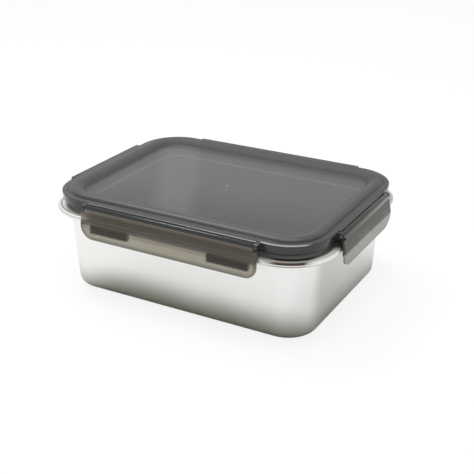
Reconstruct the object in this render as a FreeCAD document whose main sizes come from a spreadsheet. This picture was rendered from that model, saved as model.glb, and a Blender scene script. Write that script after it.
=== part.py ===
"""Lunch box: a drawn steel tub, a moulded lid with a seal ring, and a hinged latch on each side.

Millimetres. The origin is the centre of the tub's base, +X runs along the long side, +Z is up,
and the front latch is on the -Y side.
"""
import FreeCAD
import Part
import Sketcher
import math
import os

Vector = FreeCAD.Vector

SIZES = [
    ("base_length", 183.0, "tub base, along X"),
    ("base_width", 133.0, "tub base, along Y"),
    ("base_corner", 21.0, "plan radius of the base's corners"),
    ("base_round", 8.0, "outer radius between base and walls"),
    ("tub_height", 60.0, "base to the top of the flange"),
    ("tub_sheet", 0.6, "thickness of the steel sheet"),
    ("wall_flare", 3.5, "how far each wall leans out over its height"),
    ("shoulder_step", 1.5, "how far the mouth is stepped out from the wall"),
    ("shoulder_drop", 6.0, "height of the stepped mouth, flange included"),
    ("rim_overhang", 7.0, "flange beyond the stepped mouth"),
    ("rim_bead", 3.2, "width and depth of the rolled edge"),
    ("bead_bevel", 1.0, "bevel of the rolled edge's outer corners"),
    ("mouth_bevel", 0.6, "bevel between the mouth and the flange"),
    ("lid_inset", 3.5, "lid edge inside the rim's outer edge"),
    ("skirt_gap", 4.0, "space between flange and skirt"),
    ("skirt_height", 6.3, "depth of the lid's skirt"),
    ("skirt_taper", 0.9, "how far the skirt leans in at its lower edge"),
    ("skirt_wall", 1.9, "thickness of the skirt"),
    ("edge_bevel", 0.8, "bevel of the lid's top edge"),
    ("ledge_width", 4.7, "flat ledge around the crown"),
    ("ledge_wall", 2.2, "thickness of the ledge"),
    ("crown_run", 2.6, "slope from the ledge up to the crown"),
    ("crown_rise", 2.2, "top of the crown above the ledge"),
    ("crown_flat", 3.6, "level top of the crown"),
    ("panel_drop", 1.8, "panel below the ledge"),
    ("panel_wall", 2.0, "thickness of the panel"),
    ("channel_setback", 1.9, "tub mouth to the seal channel's outer wall"),
    ("channel_wall", 1.6, "thickness of the seal channel's outer wall"),
    ("channel_roof", 1.6, "seal channel's roof below the ledge's top"),
    ("channel_lift", 1.0, "channel's outer wall above the flange"),
    ("plug_wall", 1.6, "thickness of the plug wall"),
    ("plug_reach", 0.5, "plug wall's lower edge below the flange"),
    ("seal_width", 6.8, "seal ring across its base"),
    ("seal_fit", 0.1, "seal ring to the channel's walls"),
    ("seal_base", 2.4, "thickness of the seal ring's base"),
    ("seal_leg", 1.4, "thickness of the seal ring's legs"),
    ("seal_lip", 1.0, "thickness of the lip's edge"),
    ("seal_slope", 1.5, "fall of the lip towards the mouth"),
    ("seal_gap", 0.3, "seal ring to the pieces it closes on"),
    ("hinge_out", 2.6, "hinge axis outside the lid's edge"),
    ("hinge_drop", 2.7, "hinge axis below the lid's edge"),
    ("barrel_radius", 2.2, "hinge barrel and ears"),
    ("pin_radius", 1.0, "hinge pin"),
    ("pin_clearance", 0.05, "pin to its bores, on the radius"),
    ("ear_width", 2.6, "lid ear at each end of a barrel"),
    ("ear_gap", 0.3, "ear to barrel, and ear to latch plate"),
    ("pin_recess", 0.3, "pin end inside the ear's outer face"),
    ("latch_long", 131.0, "latch on a long side"),
    ("latch_short", 79.0, "latch on a short side"),
    ("latch_wall", 1.5, "thickness of the latch plate"),
    ("latch_shoulder", 2.1, "plate's outer face beyond the axis, at its top"),
    ("latch_bulge", 3.8, "plate's outer face beyond the axis, at its bend"),
    ("latch_tuck", 3.0, "plate's outer face beyond the axis, at its lower edge"),
    ("latch_bend", 11.5, "bend below the axis"),
    ("latch_reach", 21.1, "lower edge below the axis"),
    ("latch_corner", 8.5, "radius of the plate's lower corners"),
    ("web_inset", 0.15, "web between barrel and plate, inside the plate's faces"),
    ("lug_margin", 6.8, "latch end to its nearer lug"),
    ("lug_long", 28.5, "lug on a long latch"),
    ("lug_short", 20.0, "lug on a short latch"),
    ("lug_catch", 2.1, "lug under the rolled edge"),
    ("lug_gap", 1.0, "lug's tip below the rolled edge"),
    ("lug_ramp", 1.6, "rise of the lug's upper face from tip to plate"),
    ("lug_height", 4.6, "depth of the lug below its tip"),
]


class Size:
    """A dimension: its value, and the sheet expression that drives it."""

    def __init__(self, value, text):
        self.value = value
        self.text = text

    def __add__(self, other):
        other = as_size(other)
        return Size(self.value + other.value, f"({self.text} + {other.text})")

    def __sub__(self, other):
        other = as_size(other)
        return Size(self.value - other.value, f"({self.text} - {other.text})")

    def __mul__(self, other):
        other = as_size(other)
        return Size(self.value * other.value, f"({self.text} * {other.text})")

    def __truediv__(self, other):
        other = as_size(other)
        return Size(self.value / other.value, f"({self.text} / {other.text})")

    def __neg__(self):
        return Size(-self.value, f"(0 - {self.text})")


def as_size(number):
    """A plain number as a Size."""
    if isinstance(number, Size):
        return number
    return Size(float(number), f"{number}")


doc = FreeCAD.newDocument("LunchBox")
sheet = doc.addObject("Spreadsheet::Sheet", "Sizes")
size = {}
for row, (alias, value, note) in enumerate(SIZES, start=1):
    sheet.set(f"A{row}", note)
    sheet.set(f"B{row}", f"{value}")
    sheet.setAlias(f"B{row}", alias)
    size[alias] = Size(value, f"Sizes.{alias}")
doc.recompute()


def bind(item, name, amount):
    """Set a property from a Size and tie it to the sheet."""
    setattr(item, name, amount.value)
    item.setExpression(name, amount.text)


def new_body(label):
    """An empty body whose label names its piece."""
    body = doc.addObject("PartDesign::Body", label)
    body.Label = label
    return body


def new_sketch(body, name, role, shift=None):
    """A sketch on one of the body's origin planes, moved along its normal by shift."""
    sketch = body.newObject("Sketcher::SketchObject", name)
    support = [item for item in body.Origin.OriginFeatures if item.Role == role]
    sketch.AttachmentSupport = [(support[0], "")]
    sketch.MapMode = "FlatFace"
    if shift is not None:
        sketch.AttachmentOffset = FreeCAD.Placement(Vector(0, 0, shift.value), FreeCAD.Rotation())
        sketch.setExpression("AttachmentOffset.Base.z", shift.text)
    return sketch


def dimension(sketch, kind, refs, amount):
    """A driving dimension tied to the sheet."""
    index = sketch.addConstraint(Sketcher.Constraint(kind, *refs, amount.value))
    sketch.setExpression(f"Constraints[{index}]", amount.text)


def rounded_rectangle(sketch, length, width, corner):
    """A centred rectangle with equal rounded corners."""
    x = length.value / 2
    y = width.value / 2
    r = corner.value
    ends = [
        (Vector(-x + r, y, 0), Vector(x - r, y, 0)),
        (Vector(x, y - r, 0), Vector(x, -y + r, 0)),
        (Vector(x - r, -y, 0), Vector(-x + r, -y, 0)),
        (Vector(-x, -y + r, 0), Vector(-x, y - r, 0)),
    ]
    centres = [
        (Vector(x - r, y - r, 0), 0.0),
        (Vector(x - r, -y + r, 0), -math.pi / 2),
        (Vector(-x + r, -y + r, 0), math.pi),
        (Vector(-x + r, y - r, 0), math.pi / 2),
    ]
    sides = [sketch.addGeometry(Part.LineSegment(*pair)) for pair in ends]
    arcs = []
    for centre, start in centres:
        circle = Part.Circle(centre, Vector(0, 0, 1), r)
        arcs.append(sketch.addGeometry(Part.ArcOfCircle(circle, start, start + math.pi / 2)))
    for index in range(4):
        after = (index + 1) % 4
        sketch.addConstraint(Sketcher.Constraint("Tangent", sides[index], 2, arcs[index], 2))
        sketch.addConstraint(Sketcher.Constraint("Tangent", arcs[index], 1, sides[after], 1))
    sketch.addConstraint(Sketcher.Constraint("Horizontal", sides[0]))
    sketch.addConstraint(Sketcher.Constraint("Horizontal", sides[2]))
    sketch.addConstraint(Sketcher.Constraint("Vertical", sides[1]))
    sketch.addConstraint(Sketcher.Constraint("Vertical", sides[3]))
    for arc in arcs[1:]:
        sketch.addConstraint(Sketcher.Constraint("Equal", arcs[0], arc))
    sketch.addConstraint(Sketcher.Constraint("Symmetric", arcs[0], 3, arcs[2], 3, -1, 1))
    dimension(sketch, "DistanceX", (sides[3], 1, sides[1], 1), length)
    dimension(sketch, "DistanceY", (sides[2], 1, sides[0], 1), width)
    dimension(sketch, "Radius", (arcs[0],), corner)


def section(sketch, corners):
    """A closed outline. Each corner is (across, up) or, at the end of an arc, (across, up, radius, centre)."""
    points = [Vector(corner[0].value, corner[1].value, 0) for corner in corners]
    pieces = []
    for index, corner in enumerate(corners):
        first = points[index - 1]
        last = points[index]
        if len(corner) == 2:
            pieces.append((sketch.addGeometry(Part.LineSegment(first, last)), 1, 2))
            continue
        centre = Vector(corner[3][0].value, corner[3][1].value, 0)
        start = math.atan2(first.y - centre.y, first.x - centre.x)
        stop = math.atan2(last.y - centre.y, last.x - centre.x)
        turn = (stop - start) % (2 * math.pi)
        circle = Part.Circle(centre, Vector(0, 0, 1), corner[2].value)
        if turn < math.pi:
            arc = Part.ArcOfCircle(circle, start, start + turn)
            pieces.append((sketch.addGeometry(arc), 1, 2))
        else:
            arc = Part.ArcOfCircle(circle, stop, stop + 2 * math.pi - turn)
            pieces.append((sketch.addGeometry(arc), 2, 1))
    for index, piece in enumerate(pieces):
        after = pieces[(index + 1) % len(pieces)]
        sketch.addConstraint(Sketcher.Constraint("Coincident", piece[0], piece[2], after[0], after[1]))
    for piece, corner in zip(pieces, corners):
        dimension(sketch, "DistanceX", (-1, 1, piece[0], piece[2]), corner[0])
        dimension(sketch, "DistanceY", (-1, 1, piece[0], piece[2]), corner[1])
        if len(corner) > 2:
            dimension(sketch, "Radius", (piece[0],), corner[2])


def circle_at(sketch, across, up, radius):
    """A circle placed by its centre."""
    centre = Vector(across.value, up.value, 0)
    index = sketch.addGeometry(Part.Circle(centre, Vector(0, 0, 1), radius.value))
    dimension(sketch, "DistanceX", (-1, 1, index, 3), across)
    dimension(sketch, "DistanceY", (-1, 1, index, 3), up)
    dimension(sketch, "Radius", (index,), radius)


def extrude(body, kind, name, sketch, length, midplane=False, reverse=False):
    """A Pad or a Pocket of a sketch."""
    feature = body.newObject(f"PartDesign::{kind}", name)
    feature.Profile = sketch
    bind(feature, "Length", length)
    feature.Midplane = midplane
    feature.Reversed = reverse
    doc.recompute()
    return feature


def sweep(body, name, outline, path):
    """A section carried around a closed path."""
    feature = body.newObject("PartDesign::AdditivePipe", name)
    feature.Profile = outline
    feature.Spine = path
    doc.recompute()
    return feature


def mirror(body, name, originals, role):
    """Copies of features on the other side of an origin plane."""
    feature = body.newObject("PartDesign::Mirrored", name)
    feature.Originals = originals
    plane = [item for item in body.Origin.OriginFeatures if item.Role == role]
    feature.MirrorPlane = (plane[0], [""])
    body.Tip = feature
    doc.recompute()
    return feature


def edge_names(base, wanted):
    """The edges of a feature whose ends and middle satisfy a test."""
    names = []
    for index, edge in enumerate(base.Shape.Edges, start=1):
        if all(wanted(vertex.Point) for vertex in edge.Vertexes) and wanted(middle(edge)):
            names.append(f"Edge{index}")
    return names


def round_edges(body, name, base, radius, wanted):
    """Fillet the edges of a feature that satisfy a test."""
    feature = body.newObject("PartDesign::Fillet", name)
    feature.Base = (base, edge_names(base, wanted))
    bind(feature, "Radius", radius)
    doc.recompute()
    return feature


def bevel_edges(body, name, base, depth, wanted):
    """Chamfer the edges of a feature that satisfy a test."""
    feature = body.newObject("PartDesign::Chamfer", name)
    feature.Base = (base, edge_names(base, wanted))
    bind(feature, "Size", depth)
    doc.recompute()
    return feature


def middle(edge):
    """The point halfway along an edge."""
    return edge.valueAt((edge.FirstParameter + edge.LastParameter) / 2)


def near(first, second):
    """Equal to within modelling tolerance."""
    return abs(first - second) < 1e-4


def in_mouth(point):
    """Inside the flange's inner half, where the mouth's edge runs."""
    x = abs(point.x) - base_length.value / 2 - mouth_out.value
    y = abs(point.y) - base_width.value / 2 - mouth_out.value
    return x < 0 and y < 0


# The tub. Every outline of the box is an offset of its base, so all corners share their centres.
base_length = size["base_length"]
base_width = size["base_width"]
base_corner = size["base_corner"]
sheet_wall = size["tub_sheet"]
rim_top = size["tub_height"]
wall_top = rim_top - size["shoulder_drop"]
wall_out = size["wall_flare"]
mouth_out = wall_out + size["shoulder_step"]
rim_out = mouth_out + size["rim_overhang"]
bead = size["rim_bead"]
bead_bevel = size["bead_bevel"]


def offset_outline(sketch, out):
    """The base's outline moved outwards on every side."""
    rounded_rectangle(sketch, base_length + out * 2, base_width + out * 2, base_corner + out)


def slope(run, rise):
    """The angle, in degrees, of a wall that moves out by run over rise."""
    return Size(math.degrees(math.atan(run.value / rise.value)), f"atan({run.text} / {rise.text})")


lean = slope(wall_out, wall_top)

tub = new_body("steel_tub")
tub_base = new_sketch(tub, "TubBase", "XY_Plane")
rounded_rectangle(tub_base, base_length, base_width, base_corner)
tub_walls = extrude(tub, "Pad", "TubWalls", tub_base, wall_top)
bind(tub_walls, "TaperAngle", lean)
doc.recompute()

mouth_plan = new_sketch(tub, "MouthPlan", "XY_Plane", wall_top)
offset_outline(mouth_plan, mouth_out)
tub_mouth = extrude(tub, "Pad", "TubMouth", mouth_plan, size["shoulder_drop"])

flange_plan = new_sketch(tub, "FlangePlan", "XY_Plane", rim_top - sheet_wall)
offset_outline(flange_plan, rim_out - bead / 2)
tub_flange = extrude(tub, "Pad", "TubFlange", flange_plan, sheet_wall)

bead_path = new_sketch(tub, "BeadPath", "XY_Plane", rim_top)
offset_outline(bead_path, rim_out)
bead_section = new_sketch(tub, "BeadSection", "YZ_Plane")
bead_face = base_width / 2 + rim_out
section(bead_section, [
    (bead_face, rim_top - bead_bevel),
    (bead_face - bead_bevel, rim_top),
    (bead_face - bead, rim_top),
    (bead_face - bead, rim_top - bead),
    (bead_face - bead_bevel, rim_top - bead),
    (bead_face, rim_top - bead + bead_bevel),
])
tub_bead = sweep(tub, "TubBead", bead_section, bead_path)

mouth_hollow = new_sketch(tub, "MouthHollow", "XY_Plane", rim_top)
offset_outline(mouth_hollow, mouth_out - sheet_wall)
tub_opening = extrude(tub, "Pocket", "TubOpening", mouth_hollow, size["shoulder_drop"] - sheet_wall)

# The inside narrows in three stages: the leaning walls, then two bevels that follow the base's rounding.
heel = size["base_round"] - sheet_wall
heel_drop = heel * Size(math.sqrt(0.5), "sqrt(0.5)")
heel_run = heel - heel_drop
heel_top = size["base_round"]
wall_depth = wall_top + sheet_wall - heel_top
heel_out = wall_out - sheet_wall - wall_depth * wall_out / wall_top
INSIDE = [
    ("Wall", wall_top + sheet_wall, wall_out - sheet_wall, wall_depth, lean),
    ("Heel", heel_top, heel_out, heel_drop, slope(heel_run, heel_drop)),
    ("Floor", heel_top - heel_drop, heel_out - heel_run, heel_run, slope(heel_drop, heel_run)),
]
for name, height, out, depth, angle in INSIDE:
    hollow = new_sketch(tub, f"{name}Hollow", "XY_Plane", height)
    offset_outline(hollow, out)
    pocket = extrude(tub, "Pocket", f"Tub{name}", hollow, depth)
    bind(pocket, "TaperAngle", angle * -1)
    doc.recompute()

tub_foot = round_edges(tub, "TubFoot", tub.Tip, size["base_round"], lambda p: near(p.z, 0))
mouth_bend = bevel_edges(
    tub,
    "MouthBend",
    tub_foot,
    size["mouth_bevel"],
    lambda p: near(p.z, rim_top.value) and in_mouth(p),
)

# The lid. Offsets are counted from the base's outline, outwards.
half_width = base_width / 2
half_length = base_length / 2
lid_out = rim_out - size["lid_inset"]
skirt_foot = rim_top + size["skirt_gap"]
ledge_top = skirt_foot + size["skirt_height"]
mouth_in = mouth_out - sheet_wall
channel_face = mouth_in - size["channel_setback"]
channel_side = channel_face - size["channel_wall"]
seal_out = channel_side - size["seal_fit"]
seal_in = seal_out - size["seal_width"]
plug_out = seal_in - size["seal_fit"]
plug_in = plug_out - size["plug_wall"]
crown_out = lid_out - size["ledge_width"] - size["crown_run"]
crown_in = crown_out - size["crown_flat"]
crown_top = ledge_top + size["crown_rise"]
panel_top = ledge_top - size["panel_drop"]
hinge_reach = lid_out + size["hinge_out"]
hinge_height = ledge_top - size["hinge_drop"]
barrel = size["barrel_radius"]
bore_radius = size["pin_radius"] + size["pin_clearance"]


lid = new_body("lid_shell")
edge = size["edge_bevel"]
lid_path = new_sketch(lid, "LidPath", "XY_Plane")
offset_outline(lid_path, lid_out)
lid_section = new_sketch(lid, "LidSection", "YZ_Plane")
section(lid_section, [
    (half_width + lid_out - size["skirt_taper"], skirt_foot),
    (half_width + lid_out, ledge_top - edge),
    (half_width + lid_out - edge, ledge_top),
    (half_width + lid_out - size["ledge_width"], ledge_top),
    (half_width + crown_out, crown_top),
    (half_width + crown_in, crown_top),
    (half_width + plug_in, panel_top),
    (half_width + plug_in, rim_top - size["plug_reach"]),
    (half_width + plug_out, rim_top - size["plug_reach"]),
    (half_width + plug_out, ledge_top - size["channel_roof"]),
    (half_width + channel_side, ledge_top - size["channel_roof"]),
    (half_width + channel_side, rim_top + size["channel_lift"]),
    (half_width + channel_face, rim_top + size["channel_lift"]),
    (half_width + channel_face, ledge_top - size["ledge_wall"]),
    (half_width + lid_out - size["skirt_wall"], ledge_top - size["ledge_wall"]),
    (half_width + lid_out - size["skirt_taper"] - size["skirt_wall"], skirt_foot),
])
lid_rim = sweep(lid, "LidRim", lid_section, lid_path)

panel_plan = new_sketch(lid, "PanelPlan", "XY_Plane", panel_top - size["panel_wall"])
offset_outline(panel_plan, plug_in + size["plug_wall"] / 2)
lid_panel = extrude(lid, "Pad", "LidPanel", panel_plan, size["panel_wall"])


def ear_section(sketch, half, sign):
    """The ear that carries a hinge pin, from inside the skirt round the axis and back."""
    root = (half + lid_out - size["skirt_taper"]) * sign
    axis = (half + hinge_reach) * sign
    nose = (half + hinge_reach + barrel) * sign
    centre = (axis, hinge_height)
    section(sketch, [
        (root, hinge_height + barrel),
        (root, hinge_height - barrel),
        (axis, hinge_height - barrel),
        (nose, hinge_height, barrel, centre),
        (axis, hinge_height + barrel, barrel, centre),
    ])


def add_ears(name, role, half, length):
    """Ears for the two opposite latches of one length, at both of their ends."""
    start = length / 2 - size["ear_width"]
    plan = new_sketch(lid, f"{name}Plan", role, start)
    ear_section(plan, half, 1)
    ear_section(plan, half, -1)
    ears = extrude(lid, "Pad", name, plan, size["ear_width"])
    mirror(lid, f"{name}Mirror", [ears], role)
    bores = new_sketch(lid, f"{name}Bores", role)
    circle_at(bores, half + hinge_reach, hinge_height, bore_radius)
    circle_at(bores, -(half + hinge_reach), hinge_height, bore_radius)
    extrude(lid, "Pocket", f"{name}Holes", bores, length + size["ear_width"], midplane=True)


add_ears("LongEars", "YZ_Plane", half_width, size["latch_long"])
add_ears("ShortEars", "XZ_Plane", half_length, size["latch_short"])

# The seal ring: a channel section whose outer leg ends in a lip that reaches the tub's mouth.
seal = new_body("seal_ring")
seal_top = ledge_top - size["channel_roof"]
seal_roof = seal_top - size["seal_base"]
lip_top = rim_top + size["channel_lift"] - size["seal_gap"]
lip_reach = half_width + mouth_in - size["seal_gap"]
leg_outer = half_width + seal_out - size["seal_leg"]
leg_inner = half_width + seal_in + size["seal_leg"]
seal_path = new_sketch(seal, "SealPath", "XY_Plane")
offset_outline(seal_path, seal_out)
seal_section = new_sketch(seal, "SealSection", "YZ_Plane")
section(seal_section, [
    (half_width + seal_in, seal_top),
    (half_width + seal_out, seal_top),
    (half_width + seal_out, lip_top),
    (lip_reach, lip_top - size["seal_slope"]),
    (lip_reach, lip_top - size["seal_slope"] - size["seal_lip"]),
    (leg_outer, lip_top - size["seal_lip"]),
    (leg_outer, seal_roof),
    (leg_inner, seal_roof),
    (leg_inner, rim_top),
    (half_width + seal_in, rim_top),
])
sweep(seal, "SealRing", seal_section, seal_path)


# A latch. Its own frame has the hinge axis along X and +Y outwards.
plate_top = -(barrel + size["ear_gap"])
plate_bend = -size["latch_bend"]
plate_low = -size["latch_reach"]
plate_wall = size["latch_wall"]
lug_tip = size["lid_inset"] - size["hinge_out"] - size["lug_catch"]
lug_top = rim_top - size["rim_bead"] - size["lug_gap"] - hinge_height
lug_foot = lug_top - size["lug_height"]
lug_root = (size["latch_bulge"] + size["latch_tuck"] - plate_wall) / 2


def add_latch(label, length, lug_length, facing, across, along):
    """A latch of one length, facing outwards and set on its hinge axis."""
    body = new_body(label)
    barrel_plan = new_sketch(body, f"{label}_barrel_plan", "YZ_Plane")
    ring = barrel_plan.addGeometry(Part.Circle(Vector(0, 0, 0), Vector(0, 0, 1), barrel.value))
    barrel_plan.addConstraint(Sketcher.Constraint("Coincident", ring, 3, -1, 1))
    dimension(barrel_plan, "Radius", (ring,), barrel)
    inset = (size["ear_width"] + size["ear_gap"]) * 2
    plate_plan = new_sketch(body, f"{label}_plate_plan", "YZ_Plane")
    section(plate_plan, [
        (size["latch_shoulder"], plate_top),
        (size["latch_bulge"], plate_bend),
        (size["latch_tuck"], plate_low),
        (size["latch_tuck"] - plate_wall, plate_low),
        (size["latch_bulge"] - plate_wall, plate_bend),
        (size["latch_shoulder"] - plate_wall, plate_top),
    ])
    plate = extrude(body, "Pad", f"{label}_plate", plate_plan, length, midplane=True)
    round_edges(
        body,
        f"{label}_corners",
        plate,
        size["latch_corner"],
        lambda p: near(p.z, plate_low.value) and near(abs(p.x), length.value / 2),
    )
    extrude(body, "Pad", f"{label}_barrel", barrel_plan, length - inset, midplane=True)
    web_plan = new_sketch(body, f"{label}_web_plan", "YZ_Plane")
    web_in = size["latch_shoulder"] - plate_wall + size["web_inset"]
    web_out = size["latch_shoulder"] - size["web_inset"]
    section(web_plan, [
        (web_in, -size["pin_radius"]),
        (web_out, -size["pin_radius"]),
        (web_out, plate_top - size["ear_gap"]),
        (web_in, plate_top - size["ear_gap"]),
    ])
    extrude(body, "Pad", f"{label}_web", web_plan, length - inset, midplane=True)
    bore_plan = new_sketch(body, f"{label}_bore_plan", "YZ_Plane")
    hole = bore_plan.addGeometry(Part.Circle(Vector(0, 0, 0), Vector(0, 0, 1), bore_radius.value))
    bore_plan.addConstraint(Sketcher.Constraint("Coincident", hole, 3, -1, 1))
    dimension(bore_plan, "Radius", (hole,), bore_radius)
    extrude(body, "Pocket", f"{label}_bore", bore_plan, length, midplane=True)
    lug_plan = new_sketch(body, f"{label}_lug_plan", "YZ_Plane", length / 2 - size["lug_margin"] - lug_length)
    section(lug_plan, [
        (lug_tip, lug_top),
        (lug_root, lug_top + size["lug_ramp"]),
        (lug_root, lug_foot),
        (lug_tip, lug_foot),
    ])
    lug = extrude(body, "Pad", f"{label}_lug", lug_plan, lug_length)
    mirror(body, f"{label}_lugs", [lug], "YZ_Plane")
    turn = math.degrees(math.atan2(-facing.x, facing.y))
    body.Placement = FreeCAD.Placement(Vector(), FreeCAD.Rotation(Vector(0, 0, 1), turn))
    body.setExpression("Placement.Base.x", across.text)
    body.setExpression("Placement.Base.y", along.text)
    body.setExpression("Placement.Base.z", hinge_height.text)
    return body


def add_pin(label, length, facing, across, along):
    """A hinge pin through the ears and the barrel, its middle on the latch's axis."""
    axis = Vector(-facing.y, facing.x, 0).normalize()
    pin = doc.addObject("Part::Cylinder", label)
    pin.Label = label
    height = length - size["pin_recess"] * 2
    bind(pin, "Radius", size["pin_radius"])
    bind(pin, "Height", height)
    pin.Placement = FreeCAD.Placement(Vector(), FreeCAD.Rotation(Vector(0, 0, 1), axis))
    start_x = across - height / 2 * axis.x
    start_y = along - height / 2 * axis.y
    pin.setExpression("Placement.Base.x", start_x.text)
    pin.setExpression("Placement.Base.y", start_y.text)
    pin.setExpression("Placement.Base.z", hinge_height.text)
    return pin


none = as_size(0)
reach_x = half_length + hinge_reach
reach_y = half_width + hinge_reach
SIDES = [
    ("front", size["latch_long"], size["lug_long"], Vector(0, -1, 0), none, -reach_y),
    ("back", size["latch_long"], size["lug_long"], Vector(0, 1, 0), none, reach_y),
    ("right", size["latch_short"], size["lug_short"], Vector(1, 0, 0), reach_x, none),
    ("left", size["latch_short"], size["lug_short"], Vector(-1, 0, 0), -reach_x, none),
]
pieces = [tub, lid, seal]
for side, length, lug_length, facing, across, along in SIDES:
    pieces.append(add_latch(f"latch_{side}", length, lug_length, facing, across, along))
    pieces.append(add_pin(f"hinge_pin_{side}", length, facing, across, along))
doc.recompute()

for item in doc.Objects:
    if "Invalid" in item.State or "Error" in item.State:
        raise RuntimeError(f"{item.Label} did not build")
for piece in pieces:
    shape = piece.Shape
    if shape.isNull() or not shape.isValid() or len(shape.Solids) != 1:
        raise RuntimeError(f"{piece.Label} is not one sound solid")

os.makedirs("parts", exist_ok=True)
for piece in pieces:
    piece.Shape.exportStep(f"parts/{piece.Label}.step")
    box = piece.Shape.BoundBox
    print(f"{piece.Label}: {piece.Shape.Volume:.0f} mm3, {box.XLength:.1f} x {box.YLength:.1f} x {box.ZLength:.1f}")
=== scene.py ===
"""Lunch box: finished looks for the tub, the lid, the latches and their fittings, and a plain studio."""
import math

import bmesh
import bpy
from mathutils import Matrix, Vector


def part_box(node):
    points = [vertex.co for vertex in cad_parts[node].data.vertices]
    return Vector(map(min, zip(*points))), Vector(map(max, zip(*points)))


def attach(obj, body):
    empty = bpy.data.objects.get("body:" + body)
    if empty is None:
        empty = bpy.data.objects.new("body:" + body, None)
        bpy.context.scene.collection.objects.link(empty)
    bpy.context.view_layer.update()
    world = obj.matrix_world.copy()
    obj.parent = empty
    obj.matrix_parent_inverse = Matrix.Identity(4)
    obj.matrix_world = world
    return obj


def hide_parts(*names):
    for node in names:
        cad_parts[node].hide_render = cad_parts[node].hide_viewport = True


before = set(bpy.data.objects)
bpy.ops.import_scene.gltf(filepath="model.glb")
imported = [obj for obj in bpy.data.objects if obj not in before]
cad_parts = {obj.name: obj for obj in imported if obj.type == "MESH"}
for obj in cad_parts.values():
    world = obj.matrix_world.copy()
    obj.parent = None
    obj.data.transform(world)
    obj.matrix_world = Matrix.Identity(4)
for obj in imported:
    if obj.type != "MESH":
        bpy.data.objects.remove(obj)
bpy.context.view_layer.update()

bl_info = {
    "name": "Lunch Box",
    "version": (1, 0, 0),
    "blender": (4, 5, 0),
    "location": "3D View > Sidebar > Lunch Box",
    "description": "Steel lunch box with a smoky sealed lid and a hinged latch on each side",
    "category": "Add Mesh",
}

MARKS = ("lug", "border", "hinge", "lip", "end", "web")
SIDES = {"front": 180.0, "back": 0.0, "right": -90.0, "left": 90.0}

# The tub and the lid: walls, radii and places in metres, and the steps of arcs.
# Places are measured out from the base's outline and up from the base.
FLAT_REACH = 0.004
STEP_ROUND, STEP_OUTER_ROUND = 0.0008, 0.0006
MOUTH_ROUND, MOUTH_OUTER_ROUND = 0.0010, 0.0012
HEM_ROUND, FLANGE_ROUND = 0.0003, 0.0008
SKIRT_WALL, SKIRT_ROUND = 0.0019, 0.0005
LEDGE_WALL, LEDGE_ROUND = 0.0022, 0.0004
CHANNEL_OUTER, CHANNEL_INNER = 0.0025, 0.0009
CHANNEL_FOOT, CHANNEL_ROUND = 0.0610, 0.0003
ROOF_WALL = 0.0016
PLUG_WALL, PLUG_FOOT, PLUG_ROUND = 0.0016, 0.0595, 0.0004
PANEL_WALL, PANEL_ROUND = 0.0020, 0.0006
CROWN_STEPS_IN, CROWN_STEPS_OUT = 12, 10
EAR_WIDTH, EAR_STEPS, BORE_SIDES = 0.0026, 12, 20
# The lip over a hinge: out from the lid's edge, up from the ledge, and the radius there.
LIP_SECTION = [
    (-0.0010, -0.00002, 0.0),
    (0.0015, -0.00002, 0.00020),
    (0.0015, -0.00046, 0.00012),
    (-0.0003, -0.00160, 0.0),
]

# The latch: places in metres, out and up from its hinge axis, and steps of arcs.
PLATE_TOP, PLATE_BEND, PLATE_FOOT = -0.0025, -0.0115, -0.0211
PLATE_TOP_OUT, PLATE_BEND_OUT, PLATE_FOOT_OUT = 0.0021, 0.0038, 0.0030
BEND_REACH, BEND_SOFTENING = 0.001, 0.00008
PLATE_BORDER, BORDER_SOFTENING, TOLERANCE = 0.0019, 0.0004, 1e-6
ROWS_BELOW_TOP, ROWS_ROUND_BEND = (0.0, 0.0006, 0.0035), (0.0012, 0.0004, -0.0004, -0.0012)
ROW_ABOVE_CORNER = 0.0004
PLATE_COLUMNS, CORNER_STEPS = 6, 12
SHORT_LIP_TOP = -0.0116
BARREL_INSET, BARREL_SIDES = 0.0029, 32
LUG_LONG, LUG_SHORT, LUG_MARGIN = 0.0285, 0.020, 0.0068
WEB_SECTION = [(0.00075, -0.0004), (0.00214, -0.0004), (0.00208, -0.0027), (0.00075, -0.0027)]
HOOK_SECTION = [(-0.0012, -0.0118), (0.0020, -0.0103), (0.0022, -0.0164), (-0.0012, -0.0164)]
EDGE_BEVEL, EDGE_ANGLE = 0.0004, 50.0

# Where the finishes and the painted light and shade change, in metres: the start and end of a rise or a
# fall, or of both for a band.
TUB_ZONES = {
    "left_lift": (-0.095, -0.045),
    "corner_lift": (0.082, 0.0915),
    "far_lift_x": (0.086, 0.092),
    "far_lift_y": (-0.030, 0.040),
    "shade": (0.003, 0.032),
    "end_x": (0.0886, 0.0928),
    "end_y": (-0.048, 0.010),
    "corner_x": (0.066, 0.078, 0.0915, 0.0970),
    "corner_y": (-0.060, -0.054),
    "bead": (0.0103, 0.0107),
    "roll": (0.0588, 0.0590),
    "under": (0.0574, 0.0577, 0.0581, 0.0584),
    "flat": (0.0592, 0.0598),
    "flat_inner": (0.0076, 0.0084),
    "tuck_shade": (0.0538, 0.0544, 0.0562, 0.0567),
    "bright_x": (0.0915, 0.0985),
    "bright_y": (-0.046, -0.038),
    "bright_up": (0.0575, 0.0580),
    "bright_out": (0.0074, 0.0082),
    "bead_line_shade": (0.0100, 0.0103, 0.0107, 0.0110),
    "shelf_out": (0.0084, 0.0088, 0.0102, 0.0106),
    "shelf_x": (0.060, 0.066),
    "shelf_y": (-0.054, -0.046),
    "far_left_reflection_out": (0.0086, 0.0091, 0.0098, 0.0103),
    "far_left_reflection_x": (-0.085, -0.070),
}
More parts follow.
